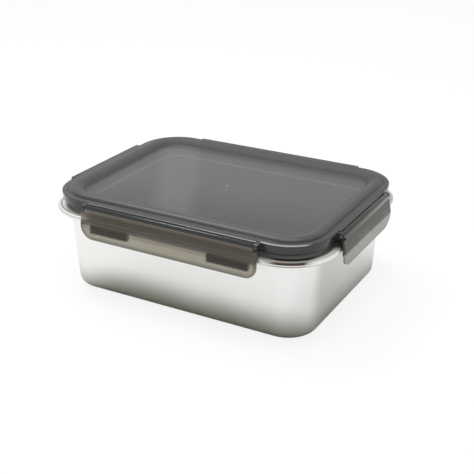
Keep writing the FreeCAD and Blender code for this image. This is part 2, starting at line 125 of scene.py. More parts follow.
LID_ZONES = {
    "inside": (-0.0084, -0.0066),
    "edge_x": (0.0650, 0.0656, 0.0905, 0.0945),
    "edge_y": (-0.0375, -0.0365),
    "edge_out": (0.0077, 0.0080, 0.0086, 0.0089),
    "edge_up": (0.0696, 0.0699),
    "lip_out": (0.0095, 0.0097),
    "lip_up": (0.0699, 0.0700),
    "lip_x": (0.000, 0.045),
    "lip_y": (-0.060, -0.050),
    "brink_out": (0.0028, 0.0038),
    "brink_x": (0.084, 0.094),
    "crown": (-0.0084, -0.0066, 0.0024, 0.0036),
    "skirt_out": (0.0060, 0.0070),
    "skirt_up": (0.0690, 0.0697),
    "fold_out": (0.0034, 0.0039, 0.0042, 0.0056),
    "fold_up": (0.0700, 0.0702),
    "foot": (0.0598, 0.0602),
    "gate": (0.0006, 0.0009),
    "painted_streak": (-0.055, -0.041, -0.029, -0.017),
    "fade": (-0.075, 0.010),
    "back": (0.045, 0.058),
}
LATCH_ZONES = {
    "low": (0.0564, 0.0571),
    "shadow": (0.0564, 0.0571, 0.0578, 0.0610),
    "tip_x": (-0.0650, -0.0570),
    "tip_up": (0.0575, 0.0620),
    "left_lug": (-0.0588, -0.0585, -0.0290, -0.0287),
    "right_lug": (0.0301, 0.0304, 0.0599, 0.0602),
    "lug_up": (0.0510, 0.0513, 0.0566, 0.0570),
    "rim": (0.0474, 0.0479),
    "line": (0.0666, 0.0668),
}

# Colours of the smaller zones, the fittings and the floor. Most zone colours here are painted light:
# reflections, highlights and shade.
FLANGE_SKIRT_REFLECTION = (0.065, 0.064, 0.045, 1.0)
BEAD_REFLECTION_BROWN = (0.060, 0.040, 0.032, 1.0)
TUCK_SHADE_GREY = (0.20, 0.19, 0.17, 1.0)
FAR_LEFT_REFLECTION_GREY = (0.22, 0.22, 0.20, 1.0)
SHELF_REFLECTION_BEIGE = (0.46, 0.42, 0.36, 1.0)
RIM_HIGHLIGHT_WHITE = (0.86, 0.86, 0.83, 1.0)
BEAD_LINE_SHADE_GREY = (0.25, 0.24, 0.22, 1.0)
WIRE_DARK, WIRE_LIGHT = (0.30, 0.30, 0.29, 1.0), (0.44, 0.44, 0.43, 1.0)
FOLD_SHADE_BLACK = (0.012, 0.012, 0.012, 1.0)
RIM_SHADE_BLACK = (0.020, 0.020, 0.020, 1.0)
CROWN_HIGHLIGHT_GREY = (0.115, 0.115, 0.112, 1.0)
STREAK_HIGHLIGHT_GREY = (0.40, 0.41, 0.40, 1.0)
EDGE_HIGHLIGHT = (0.58, 0.59, 0.60, 1.0)
FOOT_GLOW_AND_GATE_GREY = (0.55, 0.55, 0.54, 1.0)
UNLIT, LIT = (0.0, 0.0, 0.0, 1.0), (1.0, 1.0, 0.98, 1.0)
TIP_LIGHT_TAN = (0.34, 0.30, 0.23, 1.0)
TOP_EDGE_HIGHLIGHT_TAN = (0.30, 0.28, 0.23, 1.0)
SHORT_LATCH_REFLECTION_GREY = (0.037, 0.038, 0.030, 1.0)
SHORT_LIP_LIGHT = (0.275, 0.275, 0.250, 1.0)
HINGE_BLACK = (0.028, 0.029, 0.029, 1.0)
SEAL_DARK, SEAL_LIGHT = (0.33, 0.33, 0.31, 1.0), (0.42, 0.42, 0.40, 1.0)
FLOOR_DARK, FLOOR_LIGHT = (0.93, 0.93, 0.93, 1.0), (0.96, 0.96, 0.96, 1.0)
PLASTIC_IOR = 1.47

# The studio.
FLOOR_SIZE = 4.0
FLOOR_DROP = 0.0002
FLOOR_GLOW = 0.84
LAMP_AIM = (0.0, 0.0, 0.05)
OVERHEAD_PLACE, OVERHEAD_SIZE = (-0.55, 0.10, 1.15), (0.5, 0.35)
TOP_PLACE, TOP_SIZE, TOP_SHARE = (0.10, -0.12, 1.30), (0.40, 0.30), 0.7
CAMERA_PLACE = (0.2994, -0.5274, 0.3043)
CAMERA_TURN = (65.617, 0.0, 28.932)
SENSOR_WIDTH = 36.0


def length(name, default, description):
    """A length property, in metres."""
    return bpy.props.FloatProperty(
        name=name, description=description, default=default, min=0.0, precision=5, unit="LENGTH"
    )


def colour(name, default, description):
    """A colour property."""
    return bpy.props.FloatVectorProperty(
        name=name, description=description, default=default, size=3, min=0.0, max=1.0, subtype="COLOR"
    )


def share(name, default, description):
    """A number from 0 to 1."""
    return bpy.props.FloatProperty(name=name, description=description, default=default, min=0.0, max=1.0)


class TubSettings(bpy.types.PropertyGroup):
    """Sizes and finish of the steel tub."""

    base_length: length("Base length", 0.183, "Outline of the base along X")
    base_width: length("Base width", 0.133, "Outline of the base along Y")
    base_corner: length("Base corner", 0.021, "Plan radius of the base's corners")
    foot_round: length("Foot round", 0.008, "Radius between the base and the walls")
    height: length("Height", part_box("steel_tub")[1][2], "Base to the flange's top")
    sheet: length("Sheet", 0.0006, "Thickness of the steel")
    flare: length("Flare", 0.0035, "How far the walls lean out")
    shoulder: length("Shoulder", 0.006, "Depth of the stepped mouth")
    step: length("Step", 0.0015, "How far the mouth is stepped out")
    overhang: length("Overhang", 0.007, "Flange beyond the mouth")
    bead: length("Bead", 0.0032, "Diameter of the rolled edge")
    corner_segments: bpy.props.IntProperty(
        name="Corner segments", description="Faces round each corner", default=28, min=4, max=64
    )
    steel: colour("Steel", (0.80, 0.80, 0.785), "Reflected colour of the satin steel")
    # Shade and side are painted shade: the steel darker towards the base and on the right-hand end.
    shade: colour("Shade", (0.245, 0.250, 0.200), "Colour of the darker satin towards the base")
    side: colour("Side", (0.50, 0.51, 0.47), "Colour of the darker satin on the right-hand end")


class LidSettings(bpy.types.PropertyGroup):
    """Sizes and finish of the lid."""

    edge: length("Edge", 0.0085, "Lid's edge outside the base's outline")
    edge_round: length("Edge round", 0.0007, "Radius of the top edge")
    skirt_foot: length("Skirt foot", 0.0640, "Height of the skirt's lower edge")
    skirt_lean: length("Skirt lean", 0.0009, "How far the skirt leans in at its lower edge")
    ledge: length("Ledge", 0.0703, "Height of the ledge")
    ledge_width: length("Ledge width", 0.0047, "Flat ledge round the crown")
    crown_run: length("Crown run", 0.0040, "Ledge to the crest")
    crown_rise: length("Crown rise", 0.0022, "Crest above the ledge")
    panel: length("Panel", 0.0685, "Height of the panel")
    panel_edge: length("Panel edge", 0.0077, "Panel's edge inside the base's outline")
    smoke: colour("Smoke", (0.066, 0.067, 0.065), "Colour of the smoky plastic in the rim")
    clear: colour("Clear", (0.126, 0.130, 0.123), "Colour of the thinner panel")
    density: share("Density", 0.60, "How much each surface hides")


class LatchSettings(bpy.types.PropertyGroup):
    """Sizes and finish of the latches."""

    long_side: length("Long latch", 0.131, "Latch on a long side")
    short_side: length("Short latch", 0.079, "Latch on a short side")
    wall: length("Wall", 0.0015, "Thickness of the plate")
    corner: length("Corner", 0.0085, "Radius of the lower corners")
    barrel: length("Barrel", 0.0022, "Radius of the hinge barrel")
    bore: length("Bore", 0.00105, "Radius of the pin's bore")
    axis_out: length("Axis out", 0.0111, "Hinge axis outside the base's outline")
    axis_up: length("Axis up", 0.0676, "Height of the hinge axis")
    smoke: colour("Smoke", (0.104, 0.089, 0.062), "Colour of the brown smoky plastic")
    # Painted light: the plate lighter and yellower below the bend, standing for the steel seen through it.
    lit_below_bend: colour("Thin", (0.170, 0.134, 0.038), "Colour below the bend, where the light comes through")
    density: share("Density", 0.50, "How much each surface hides")


class StageSettings(bpy.types.PropertyGroup):
    """The studio."""

    surround: share("Surround", 0.74, "Light from all round")
    key: bpy.props.FloatProperty(
        name="Key", description="Power of the overhead light", default=5.0, min=0.0
    )
    lens: bpy.props.FloatProperty(
        name="Lens", description="Focal length in millimetres", default=71.0, min=1.0
    )


class Flow:
    """A number in a material's tree; arithmetic on it adds Math nodes."""

    def __init__(self, finish, socket):
        self.finish = finish
        self.socket = socket

    def sum_of(self, operation, first, second):
        node = self.finish.node("ShaderNodeMath", {"operation": operation}, {0: first, 1: second})
        return Flow(self.finish, node.outputs[0])

    def __add__(self, other):
        return self.sum_of("ADD", self, other)

    def __radd__(self, other):
        return self.sum_of("ADD", other, self)

    def __sub__(self, other):
        return self.sum_of("SUBTRACT", self, other)

    def __rsub__(self, other):
        return self.sum_of("SUBTRACT", other, self)

    def __mul__(self, other):
        return self.sum_of("MULTIPLY", self, other)

    def __rmul__(self, other):
        return self.sum_of("MULTIPLY", other, self)


class Finish:
    """A material and the nodes that make it."""

    def __init__(self, name):
        self.material = bpy.data.materials.new(name)
        self.material.use_nodes = True
        self.tree = self.material.node_tree
        self.tree.nodes.clear()
        self.output = self.tree.nodes.new("ShaderNodeOutputMaterial")
        self.shader = self.tree.nodes.new("ShaderNodeBsdfPrincipled")
        self.tree.links.new(self.shader.outputs[0], self.output.inputs[0])

    def node(self, kind, settings, inputs):
        """A node with its settings, then its inputs' values or links."""
        node = self.tree.nodes.new(kind)
        for name, value in settings.items():
            setattr(node, name, value)
        for name, value in inputs.items():
            self.feed(node.inputs[name], value)
        return node

    def feed(self, socket, value):
        """Link a flow or a socket, or set a plain value."""
        if isinstance(value, Flow):
            self.tree.links.new(value.socket, socket)
        elif isinstance(value, bpy.types.NodeSocket):
            self.tree.links.new(value, socket)
        else:
            socket.default_value = value

    def surface(self, **values):
        """Set or link the shader's sockets."""
        for name, value in values.items():
            self.feed(self.shader.inputs[name.replace("_", " ").title().replace("Ior", "IOR")], value)

    def place(self, stretch=(1.0, 1.0, 1.0)):
        """Object coordinates, stretched."""
        where = self.node("ShaderNodeTexCoord", {}, {})
        inputs = {"Vector": where.outputs["Object"], "Scale": stretch}
        return self.node("ShaderNodeMapping", {}, inputs).outputs[0]

    def noise(self, scale, detail, stretch=(1.0, 1.0, 1.0)):
        """A soft random value from 0 to 1."""
        node = self.node(
            "ShaderNodeTexNoise", {}, {"Vector": self.place(stretch), "Scale": scale, "Detail": detail}
        )
        return Flow(self, node.outputs["Fac"])

    def axes(self):
        """Distances from the middle along X and Y, height above the base, and X and Y with their signs."""
        node = self.node("ShaderNodeSeparateXYZ", {}, {0: self.place()})
        x, y, z = (Flow(self, socket) for socket in node.outputs)
        return x.sum_of("ABSOLUTE", x, 0.0), y.sum_of("ABSOLUTE", y, 0.0), z, x, y

    def outward(self, tub):
        """Distance outside the base's outline, less than nothing inside it."""
        across, along = self.axes()[:2]
        beyond_x = across - (tub.base_length / 2 - tub.base_corner)
        beyond_y = along - (tub.base_width / 2 - tub.base_corner)
        beyond_x = beyond_x.sum_of("MAXIMUM", beyond_x, 0.0)
        beyond_y = beyond_y.sum_of("MAXIMUM", beyond_y, 0.0)
        square = beyond_x * beyond_x + beyond_y * beyond_y
        return square.sum_of("SQRT", square, 0.0) - tub.base_corner

    def ease(self, value, low, high, start, stop):
        """A value eased from one range to another and held at its ends."""
        node = self.node(
            "ShaderNodeMapRange",
            {"interpolation_type": "SMOOTHSTEP"},
            {0: value, 1: low, 2: high, 3: start, 4: stop},
        )
        return Flow(self, node.outputs[0])

    def rise(self, value, low, high):
        """0 below a range and 1 above it."""
        return self.ease(value, low, high, 0.0, 1.0)

    def fall(self, value, low, high):
        """1 below a range and 0 above it."""
        return self.ease(value, low, high, 1.0, 0.0)

    def band(self, value, start, full, fade, stop):
        """1 inside a band with soft edges and 0 outside it."""
        return self.rise(value, start, full) * self.fall(value, fade, stop)

    def blend(self, factor, first, second):
        """A colour between two others."""
        node = self.node("ShaderNodeMix", {"data_type": "RGBA"}, {0: factor, 6: first, 7: second})
        return node.outputs[2]

    def coats(self, base, *layers):
        """A colour with others laid over it in turn, each by its own share."""
        for amount, tint in layers:
            base = self.blend(amount, base, tint)
        return base

    def mark(self, name):
        """A value painted on the mesh."""
        node = self.node("ShaderNodeAttribute", {"attribute_name": name}, {})
        return Flow(self, node.outputs["Fac"])

    def relief(self, value, strength, depth):
        """Bump from a value."""
        node = self.node("ShaderNodeBump", {}, {"Strength": strength, "Distance": depth, "Height": value})
        self.feed(self.shader.inputs["Normal"], node.outputs[0])


def rgba(values, strength=1.0):
    """A colour, weakened or strengthened, with full alpha."""
    return (*(strength * value for value in values), 1.0)


def satin_steel(tub):
    """Drawn steel: a fine grain round the walls, painted shade towards the foot and on the right-hand end,
    and painted reflections and shade in bands on the rim.
    """
    finish = Finish("satin_steel")
    zone = TUB_ZONES
    grain = finish.noise(900.0, 3.0, (0.12, 0.12, 1.0))
    cloud = finish.noise(22.0, 2.0)
    up, x, y = finish.axes()[2:]
    out = finish.outward(tub)

    # The walls: painted shade, darker towards the base, less so at the corners, and darker on the right-hand
    # end.
    lift = finish.fall(x, *zone["left_lift"]) * 0.012 + finish.rise(x, *zone["corner_lift"]) * 0.004
    far = finish.rise(x, *zone["far_lift_x"]) * finish.rise(y, *zone["far_lift_y"])
    shade = finish.fall(up + cloud * 0.006 + lift + far * 0.007, *zone["shade"])
    end = finish.rise(x - up * 0.065, *zone["end_x"]) * (0.28 + finish.fall(y, *zone["end_y"]) * 0.36)

    # The rim: painted reflections and shade. Brown and olive painted reflections at the near corner, a
    # painted highlight along the right, a darker painted reflection at the far left, and painted shade under
    # the bead and below it.
    corner = finish.band(x, *zone["corner_x"]) * finish.fall(y, *zone["corner_y"])
    bead = finish.rise(out, *zone["bead"])
    roll = bead * finish.rise(up, *zone["roll"])
    under = bead * finish.band(up, *zone["under"])
    # Painted reflection on the bead's roll and painted shade under the bead, both darker at the near corner.
    brown = roll * (0.08 + corner * 0.90) + under * (0.15 + corner * 0.55)
    flat = finish.rise(up, *zone["flat"])
    # Painted reflection of the dark skirt on the flange at the near corner.
    flange_reflection = flat * corner * finish.fall(out, *zone["flat_inner"]) * 0.9
    # Painted shade on the mouth wall in the recess below the bead.
    tuck_shade = finish.band(up, *zone["tuck_shade"])
    # A darker painted reflection on the flange at the far left.
    far_left_reflection = flat * finish.band(out, *zone["far_left_reflection_out"]) * finish.fall(x, *zone["far_left_reflection_x"])
    # A beige painted reflection on the flange at the near corner, less metallic there.
    shelf_reflection = flat * finish.band(out, *zone["shelf_out"])
    shelf_reflection = shelf_reflection * finish.rise(x, *zone["shelf_x"]) * finish.fall(y, *zone["shelf_y"])
    # A painted highlight on the flange and bead along the right, less metallic there, with a painted shade
    # line where the flange meets the bead.
    rim_highlight = finish.rise(x, *zone["bright_x"]) * finish.fall(y, *zone["bright_y"])
    rim_highlight = rim_highlight * finish.rise(up, *zone["bright_up"]) * finish.rise(out, *zone["bright_out"])

    base = finish.coats(
        rgba(tub.steel),
        (shade, rgba(tub.shade)),
        (end * (1.0 - shade), rgba(tub.side)),
        (flange_reflection, FLANGE_SKIRT_REFLECTION),
        (brown, BEAD_REFLECTION_BROWN),
        (tuck_shade * 0.55, TUCK_SHADE_GREY),
        (far_left_reflection * 0.7, FAR_LEFT_REFLECTION_GREY),
        (shelf_reflection * 0.9, SHELF_REFLECTION_BEIGE),
        (rim_highlight, RIM_HIGHLIGHT_WHITE),
        (rim_highlight * finish.band(out, *zone["bead_line_shade"]) * 0.5, BEAD_LINE_SHADE_GREY),
    )
    finish.surface(
        base_color=base,
        metallic=1.0 - rim_highlight * 0.8 - shelf_reflection * (1.0 - rim_highlight) * 0.9,
        roughness=0.30 + grain * 0.10 + shade * 0.08 + flat * 0.25,
    )
    finish.relief(grain, 0.05, 0.00002)
    return finish.material


def bright_steel():
    """Drawn wire for the hinge pins."""
    finish = Finish("bright_wire")
    grain = finish.noise(600.0, 2.0, (1.0, 1.0, 0.2))
    finish.surface(
        base_color=finish.blend(grain, WIRE_DARK, WIRE_LIGHT),
        metallic=1.0,
        roughness=0.22 + grain * 0.12,
    )
    return finish.material


def smoky_lid(lid, tub):
    """Glossy translucent grey plastic: thinner in the panel, with a painted highlight on the edge at the
    near corner and painted light and shade on the rim and the panel.
    """
    finish = Finish("smoky_lid")
    zone = LID_ZONES
    cloud = finish.noise(14.0, 3.0)
    light_streaks = finish.noise(26.0, 1.0, (1.0, 0.22, 1.0))
    grain = finish.noise(420.0, 2.0)
    across, along, up, x, y = finish.axes()
    out = finish.outward(tub)

    # The rim: a painted highlight on the edge at the near corner and over the front hinge, painted shade in
    # the fold, on the skirt and on the right-hand ledge, and a painted soft highlight on the crown.
    inside = finish.fall(out, *zone["inside"])
    # Painted highlight along the lid's top edge at the near corner and on the lip over the front hinge.
    edge = finish.band(x, *zone["edge_x"]) * finish.fall(y, *zone["edge_y"])
    edge = edge * finish.band(out, *zone["edge_out"]) * finish.rise(up, *zone["edge_up"])
    lip = finish.rise(out, *zone["lip_out"]) * finish.rise(up, *zone["lip_up"])
    lip = lip * (0.45 + finish.rise(x, *zone["lip_x"]) * 0.55) * finish.fall(y, *zone["lip_y"])
    # Painted shade on the outer ledge at the right-hand end.
    right_ledge_shade = finish.rise(out, *zone["brink_out"]) * finish.rise(x, *zone["brink_x"])
    # A painted soft highlight over the crown, with rougher gloss there.
    crown = finish.band(out, *zone["crown"])
    # Painted shade on the skirt.
    skirt = finish.rise(out, *zone["skirt_out"]) * finish.fall(up, *zone["skirt_up"])
    # Painted shade in the fold between the ledge and the crown.
    fold = finish.band(out, *zone["fold_out"]) * finish.rise(up, *zone["fold_up"])
    back = finish.rise(y, *zone["back"])
    # The plug wall's foot, painted to glow as a light line seen through the panel; the moulding mark at the
    # middle; and painted light on the panel, lighter towards the back, with one soft painted streak.
    foot = finish.fall(up, *zone["foot"])
    gate = finish.fall(across, *zone["gate"]) * finish.fall(along, *zone["gate"])
    painted_streak = finish.band(x * 0.875 + y * 0.484, *zone["painted_streak"]) * 0.28
    fade = finish.rise(y - x * 0.20, *zone["fade"]) * 0.6 + light_streaks * 0.5 + painted_streak

    # The panel's painted light: a darker and a lighter copy of the clear colour, and a painted highlight
    # streak.
    panel = finish.coats(rgba(lid.clear, 0.70), (fade, rgba(lid.clear, 1.30)), (painted_streak * 0.36, STREAK_HIGHLIGHT_GREY))
    base = finish.coats(
        rgba(lid.smoke, 0.85),
        (cloud, rgba(lid.smoke, 1.15)),
        (inside, panel),
        (fold * 0.6, FOLD_SHADE_BLACK),
        (skirt * 0.6, RIM_SHADE_BLACK),
        (crown * 0.35, CROWN_HIGHLIGHT_GREY),
        (right_ledge_shade * 0.45, RIM_SHADE_BLACK),
        ((edge + lip) * 0.85, EDGE_HIGHLIGHT),
        (foot * 0.8 + gate * 0.7, FOOT_GLOW_AND_GATE_GREY),
    )
    finish.surface(
        base_color=base,
        roughness=0.12 + cloud * 0.06 + grain * 0.03 + back * 0.25 + crown * 0.22,
        alpha=lid.density + (cloud - 0.5) * 0.06 + (1.0 - inside) * 0.26,
        # Painted light: the plug wall's foot glows, though it is no lamp.
        emission_color=finish.blend(foot, UNLIT, LIT),
        emission_strength=0.50,
        ior=PLASTIC_IOR,
    )
    finish.relief(grain, 0.03, 0.00002)
    return finish.material


def smoky_latch(latch):
    """Translucent brown plastic: denser in the lugs and the hinge, with painted light below the bend, a
    painted shadow above it, and painted highlights and reflections.
    """
    finish = Finish("smoky_latch")
    zone = LATCH_ZONES
    cloud = finish.noise(26.0, 2.0)
    lug, border, hinge, lip, end, web = (finish.mark(name) for name in MARKS)
    up, x = finish.axes()[2:4]
    long_side = 1.0 - end

    # The long latches have painted light below the bend and a painted shadow band above it, and dark patches
    # over the lugs.
    low = finish.fall(up, *zone["low"]) * long_side
    shadow = finish.band(up, *zone["shadow"]) * long_side
    # A painted light patch at the left upper end of the long latches.
    tip_light = finish.fall(x, *zone["tip_x"]) * finish.rise(up, *zone["tip_up"]) * long_side
    spot = finish.band(x, *zone["left_lug"]) + finish.band(x, *zone["right_lug"])
    spot = spot * finish.band(up, *zone["lug_up"]) * long_side
    rim = finish.fall(up, *zone["rim"])
    # A painted highlight along the plate's top edge, below the hinge.
    line = finish.rise(up, *zone["line"]) * (1.0 - hinge)
    dark = rgba(latch.smoke, 0.16)

    base = finish.coats(
        rgba(latch.smoke, 0.9),
        (cloud, rgba(latch.smoke, 1.1)),
        (low, rgba(latch.lit_below_bend)),
        (shadow * 0.52 + border * low * 0.5, dark),
        (tip_light * 0.5, TIP_LIGHT_TAN),
        (line * 0.5, TOP_EDGE_HIGHLIGHT_TAN),
        # Painted reflection: the short latches greyer, and painted light on their lower lips.
        (end, SHORT_LATCH_REFLECTION_GREY),
        (lip, SHORT_LIP_LIGHT),
        (lug + spot * 0.95, dark),
        (rim * (0.45 + end * 0.35), dark),
        (hinge * long_side, HINGE_BLACK),
    )
    solid = lug + spot * 0.6 + hinge + end + web
    finish.surface(
        base_color=base,
        roughness=0.18 + cloud * 0.06,
        alpha=latch.density + solid * 0.34 + border * 0.10 + shadow * 0.25 + (cloud - 0.5) * 0.05,
        ior=PLASTIC_IOR,
    )
    finish.relief(cloud, 0.03, 0.0001)
    return finish.material


def seal_silicone():
    """Matt translucent silicone."""
    finish = Finish("seal_silicone")
    cloud = finish.noise(60.0, 3.0)
    finish.surface(
        base_color=finish.blend(cloud, SEAL_DARK, SEAL_LIGHT),
        roughness=0.55 + cloud * 0.1,
    )
    finish.relief(cloud, 0.1, 0.0001)
    return finish.material


def rounded_line(corners, step=math.radians(9.0)):
    """An open line through (across, up, radius) corners, each rounded by its radius."""
    points = [Vector((corner[0], corner[1])) for corner in corners]
    line = [points[0]]
    for index in range(1, len(points) - 1):
        here = points[index]
        back = points[index - 1] - here
        on = points[index + 1] - here
        radius = corners[index][2]
        if radius <= 0.0:
            line.append(here)
            continue
        opening = back.angle(on)
        reach = min(radius / math.tan(opening / 2), 0.499 * back.length, 0.499 * on.length)
        radius = reach * math.tan(opening / 2)
        middle = (back.normalized() + on.normalized()).normalized()
        centre = here + middle * (radius / math.sin(opening / 2))
        first = here + back.normalized() * reach - centre
        turn = math.pi - opening
        if first.x * middle.y - first.y * middle.x < 0.0:
            turn = -turn
        count = max(2, round(abs(turn) / step))
        for stage in range(count + 1):
            angle = -turn * stage / count
            spun = Vector((
                first.x * math.cos(angle) - first.y * math.sin(angle),
                first.x * math.sin(angle) + first.y * math.cos(angle),
            ))
            line.append(centre + spun)
    line.append(points[-1])
    return line


def arc_line(centre, radius, start, stop, count):
    """Points along an arc, without its first."""
    points = []
    for index in range(1, count + 1):
        angle = math.radians(start + (stop - start) * index / count)
        points.append((centre[0] + radius * math.cos(angle), centre[1] + radius * math.sin(angle), 0.0))
    return points


def swept_ring_tree():
    """Carries a section round a rectangle with rounded corners."""
    tree = bpy.data.node_groups.new("Swept ring", "GeometryNodeTree")
    face = tree.interface
    face.new_socket("Section", in_out="INPUT", socket_type="NodeSocketGeometry")
    for name in ("Length", "Width", "Corner"):
        face.new_socket(name, in_out="INPUT", socket_type="NodeSocketFloat")
    face.new_socket("Segments", in_out="INPUT", socket_type="NodeSocketInt")
    face.new_socket("Finish", in_out="INPUT", socket_type="NodeSocketMaterial")
    face.new_socket("Ring", in_out="OUTPUT", socket_type="NodeSocketGeometry")
    source = tree.nodes.new("NodeGroupInput")
    result = tree.nodes.new("NodeGroupOutput")
    outline = tree.nodes.new("GeometryNodeCurvePrimitiveQuadrilateral")
    corners = tree.nodes.new("GeometryNodeFilletCurve")
    corners.mode = "POLY"
    upright = tree.nodes.new("GeometryNodeSetCurveNormal")
    upright.mode = "Z_UP"
    skin = tree.nodes.new("GeometryNodeCurveToMesh")
    plain = tree.nodes.new("GeometryNodeRealizeInstances")
    paint = tree.nodes.new("GeometryNodeSetMaterial")
    wires = [
        (source.outputs["Length"], outline.inputs["Width"]),
        (source.outputs["Width"], outline.inputs["Height"]),
        (outline.outputs[0], corners.inputs["Curve"]),
        (source.outputs["Segments"], corners.inputs["Count"]),
        (source.outputs["Corner"], corners.inputs["Radius"]),
        (corners.outputs[0], upright.inputs["Curve"]),
        (upright.outputs[0], skin.inputs["Curve"]),
        (source.outputs["Section"], skin.inputs["Profile Curve"]),
        (skin.outputs[0], plain.inputs[0]),
        (plain.outputs[0], paint.inputs["Geometry"]),
        (source.outputs["Finish"], paint.inputs["Material"]),
        (paint.outputs[0], result.inputs[0]),
    ]
    for start, stop in wires:
        tree.links.new(start, stop)
    return tree


def swept_mesh(name, line, tub, finish):
    """The mesh of a section, given outwards and up from the base's outline, carried round that outline."""
    curve = bpy.data.curves.new(f"{name}_section", "CURVE")
    curve.dimensions = "3D"
    spline = curve.splines.new("POLY")
    spline.points.add(len(line) - 1)
    for point, place in zip(spline.points, line):
        point.co = (place[0], -place[1], 0.0, 1.0)
    holder = bpy.data.objects.new(f"{name}_section", curve)
    bpy.context.scene.collection.objects.link(holder)
    tree = bpy.data.node_groups.get("Swept ring") or swept_ring_tree()
    modifier = holder.modifiers.new("Sweep", "NODES")
    modifier.node_group = tree
    sizes = {
        "Length": tub.base_length,
        "Width": tub.base_width,
        "Corner": tub.base_corner,
        "Segments": tub.corner_segments,
        "Finish": finish,
    }
    for item in tree.interface.items_tree:
        if item.name in sizes:
            modifier[item.identifier] = sizes[item.name]
    graph = bpy.context.evaluated_depsgraph_get()
    mesh = bpy.data.meshes.new_from_object(holder.evaluated_get(graph))
    holder.modifiers.remove(modifier)
    bpy.data.objects.remove(holder)
    bpy.data.curves.remove(curve)
    mesh.name = name
    return mesh


def close_ends(shape):
    """Fill the open loops at the two ends of a swept section with flat faces."""
    open_edges = [edge for edge in shape.edges if edge.is_boundary]
    bmesh.ops.holes_fill(shape, edges=open_edges, sides=0)


def show(name, mesh, body, slot, *nodes):
    """A finished piece on its body, in place of the nodes it stands for."""
    piece = bpy.data.objects.new(name, mesh)
    bpy.context.scene.collection.objects.link(piece)
    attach(piece, body)
    if nodes:
        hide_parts(*nodes)
    return piece


def smooth(mesh, angle=32.0):
    """Smooth shading, with creases sharper than an angle kept."""
    mesh.polygons.foreach_set("use_smooth", [True] * len(mesh.polygons))
    mesh.set_sharp_from_angle(angle=math.radians(angle))
    mesh.update()


class LUNCHBOX_OT_tub(bpy.types.Operator):
    """Sweep the drawn tub, from its floor up the walls and over the rolled edge."""

    bl_idname = "lunch_box.tub"
    bl_label = "Steel tub"

    def execute(self, context):
        tub = context.scene.lunch_box_tub
        top = tub.height
        low = top - tub.shoulder
        sheet = tub.sheet
        mouth = tub.flare + tub.step
        rim = mouth + tub.overhang
        bead = tub.bead
        lean = tub.flare / low
        line = rounded_line([
            (-tub.foot_round - FLAT_REACH, sheet, 0.0),
            (-sheet, sheet, tub.foot_round - sheet),
            (tub.flare - sheet, low + sheet, STEP_ROUND),
            (mouth - sheet, low + sheet, STEP_ROUND),
            (mouth - sheet, top, MOUTH_ROUND),
            (rim, top, bead / 2),
            (rim, top - bead, bead / 2),
            (rim - bead, top - bead, bead / 2),
            (rim - bead + lean * bead, top - sheet, HEM_ROUND),
            (mouth, top - sheet, FLANGE_ROUND),
            (mouth, low, MOUTH_OUTER_ROUND),
            (tub.flare, low, STEP_OUTER_ROUND),
            (0.0, 0.0, tub.foot_round),
            (-tub.foot_round - FLAT_REACH, 0.0, 0.0),
        ])
        mesh = swept_mesh("tub_shell", line, tub, satin_steel(tub))
        shape = bmesh.new()
        shape.from_mesh(mesh)
        close_ends(shape)
        shape.to_mesh(mesh)
        shape.free()
        smooth(mesh)
        show("tub_shell", mesh, "box", "tub_steel", "steel_tub")
        return {"FINISHED"}


def add_prism(shape, section, start, stop):
    """A closed prism along X from a section given outwards and up. Returns its vertices."""
    first, last = [[shape.verts.new((along, *place)) for place in section] for along in (start, stop)]
    faces = [shape.faces.new(first), shape.faces.new(list(reversed(last)))]
    for index in range(len(section)):
        faces.append(shape.faces.new((first[index - 1], last[index - 1], last[index], first[index])))
    bmesh.ops.recalc_face_normals(shape, faces=faces)
    return first + last


def add_ear(shape, turn, half, along, thick, latch, root):
    """One hinge ear: a plate with a round nose and the pin's bore, standing out from the skirt."""
    axis_out = half + latch.axis_out
    nose = latch.barrel
    outer = [(half + root, nose), (half + root, -nose)]
    for index in range(EAR_STEPS + 1):
        angle = math.radians(-90.0 + 180.0 * index / EAR_STEPS)
        outer.append((axis_out + nose * math.cos(angle), nose * math.sin(angle)))
    bore = []
    for index in range(BORE_SIDES):
        angle = math.radians(360.0 * index / BORE_SIDES)
        bore.append((axis_out + latch.bore * math.cos(angle), latch.bore * math.sin(angle)))
    edges = []
    for ring in (outer, bore):
        made = [shape.verts.new((along, place[0], latch.axis_up + place[1])) for place in ring]
        edges += [shape.edges.new((made[index - 1], made[index])) for index in range(len(made))]
    filled = bmesh.ops.triangle_fill(shape, use_beauty=True, use_dissolve=False, edges=edges)
    faces = [item for item in filled["geom"] if isinstance(item, bmesh.types.BMFace)]
    pushed = bmesh.ops.extrude_face_region(shape, geom=faces)
    moved = [item for item in pushed["geom"] if isinstance(item, bmesh.types.BMVert)]
    bmesh.ops.translate(shape, vec=(thick, 0.0, 0.0), verts=moved)
    solid = set(faces)
    for vertex in moved:
        solid.update(vertex.link_faces)
    bmesh.ops.recalc_face_normals(shape, faces=list(solid))
    whole = {vertex for face in solid for vertex in face.verts}
    spin = Matrix.Rotation(math.radians(turn), 3, "Z")
    bmesh.ops.rotate(shape, cent=(0, 0, 0), matrix=spin, verts=list(whole))


def add_lip(shape, turn, out, up, reach):
    """The ledge's small lip above a hinge barrel, with a crisp rounded edge."""
    section = rounded_line([(out + beyond, up + above, radius) for beyond, above, radius in LIP_SECTION])
    spin = Matrix.Rotation(math.radians(turn), 3, "Z")
    bmesh.ops.rotate(shape, cent=(0, 0, 0), matrix=spin, verts=add_prism(shape, section, -reach, reach))


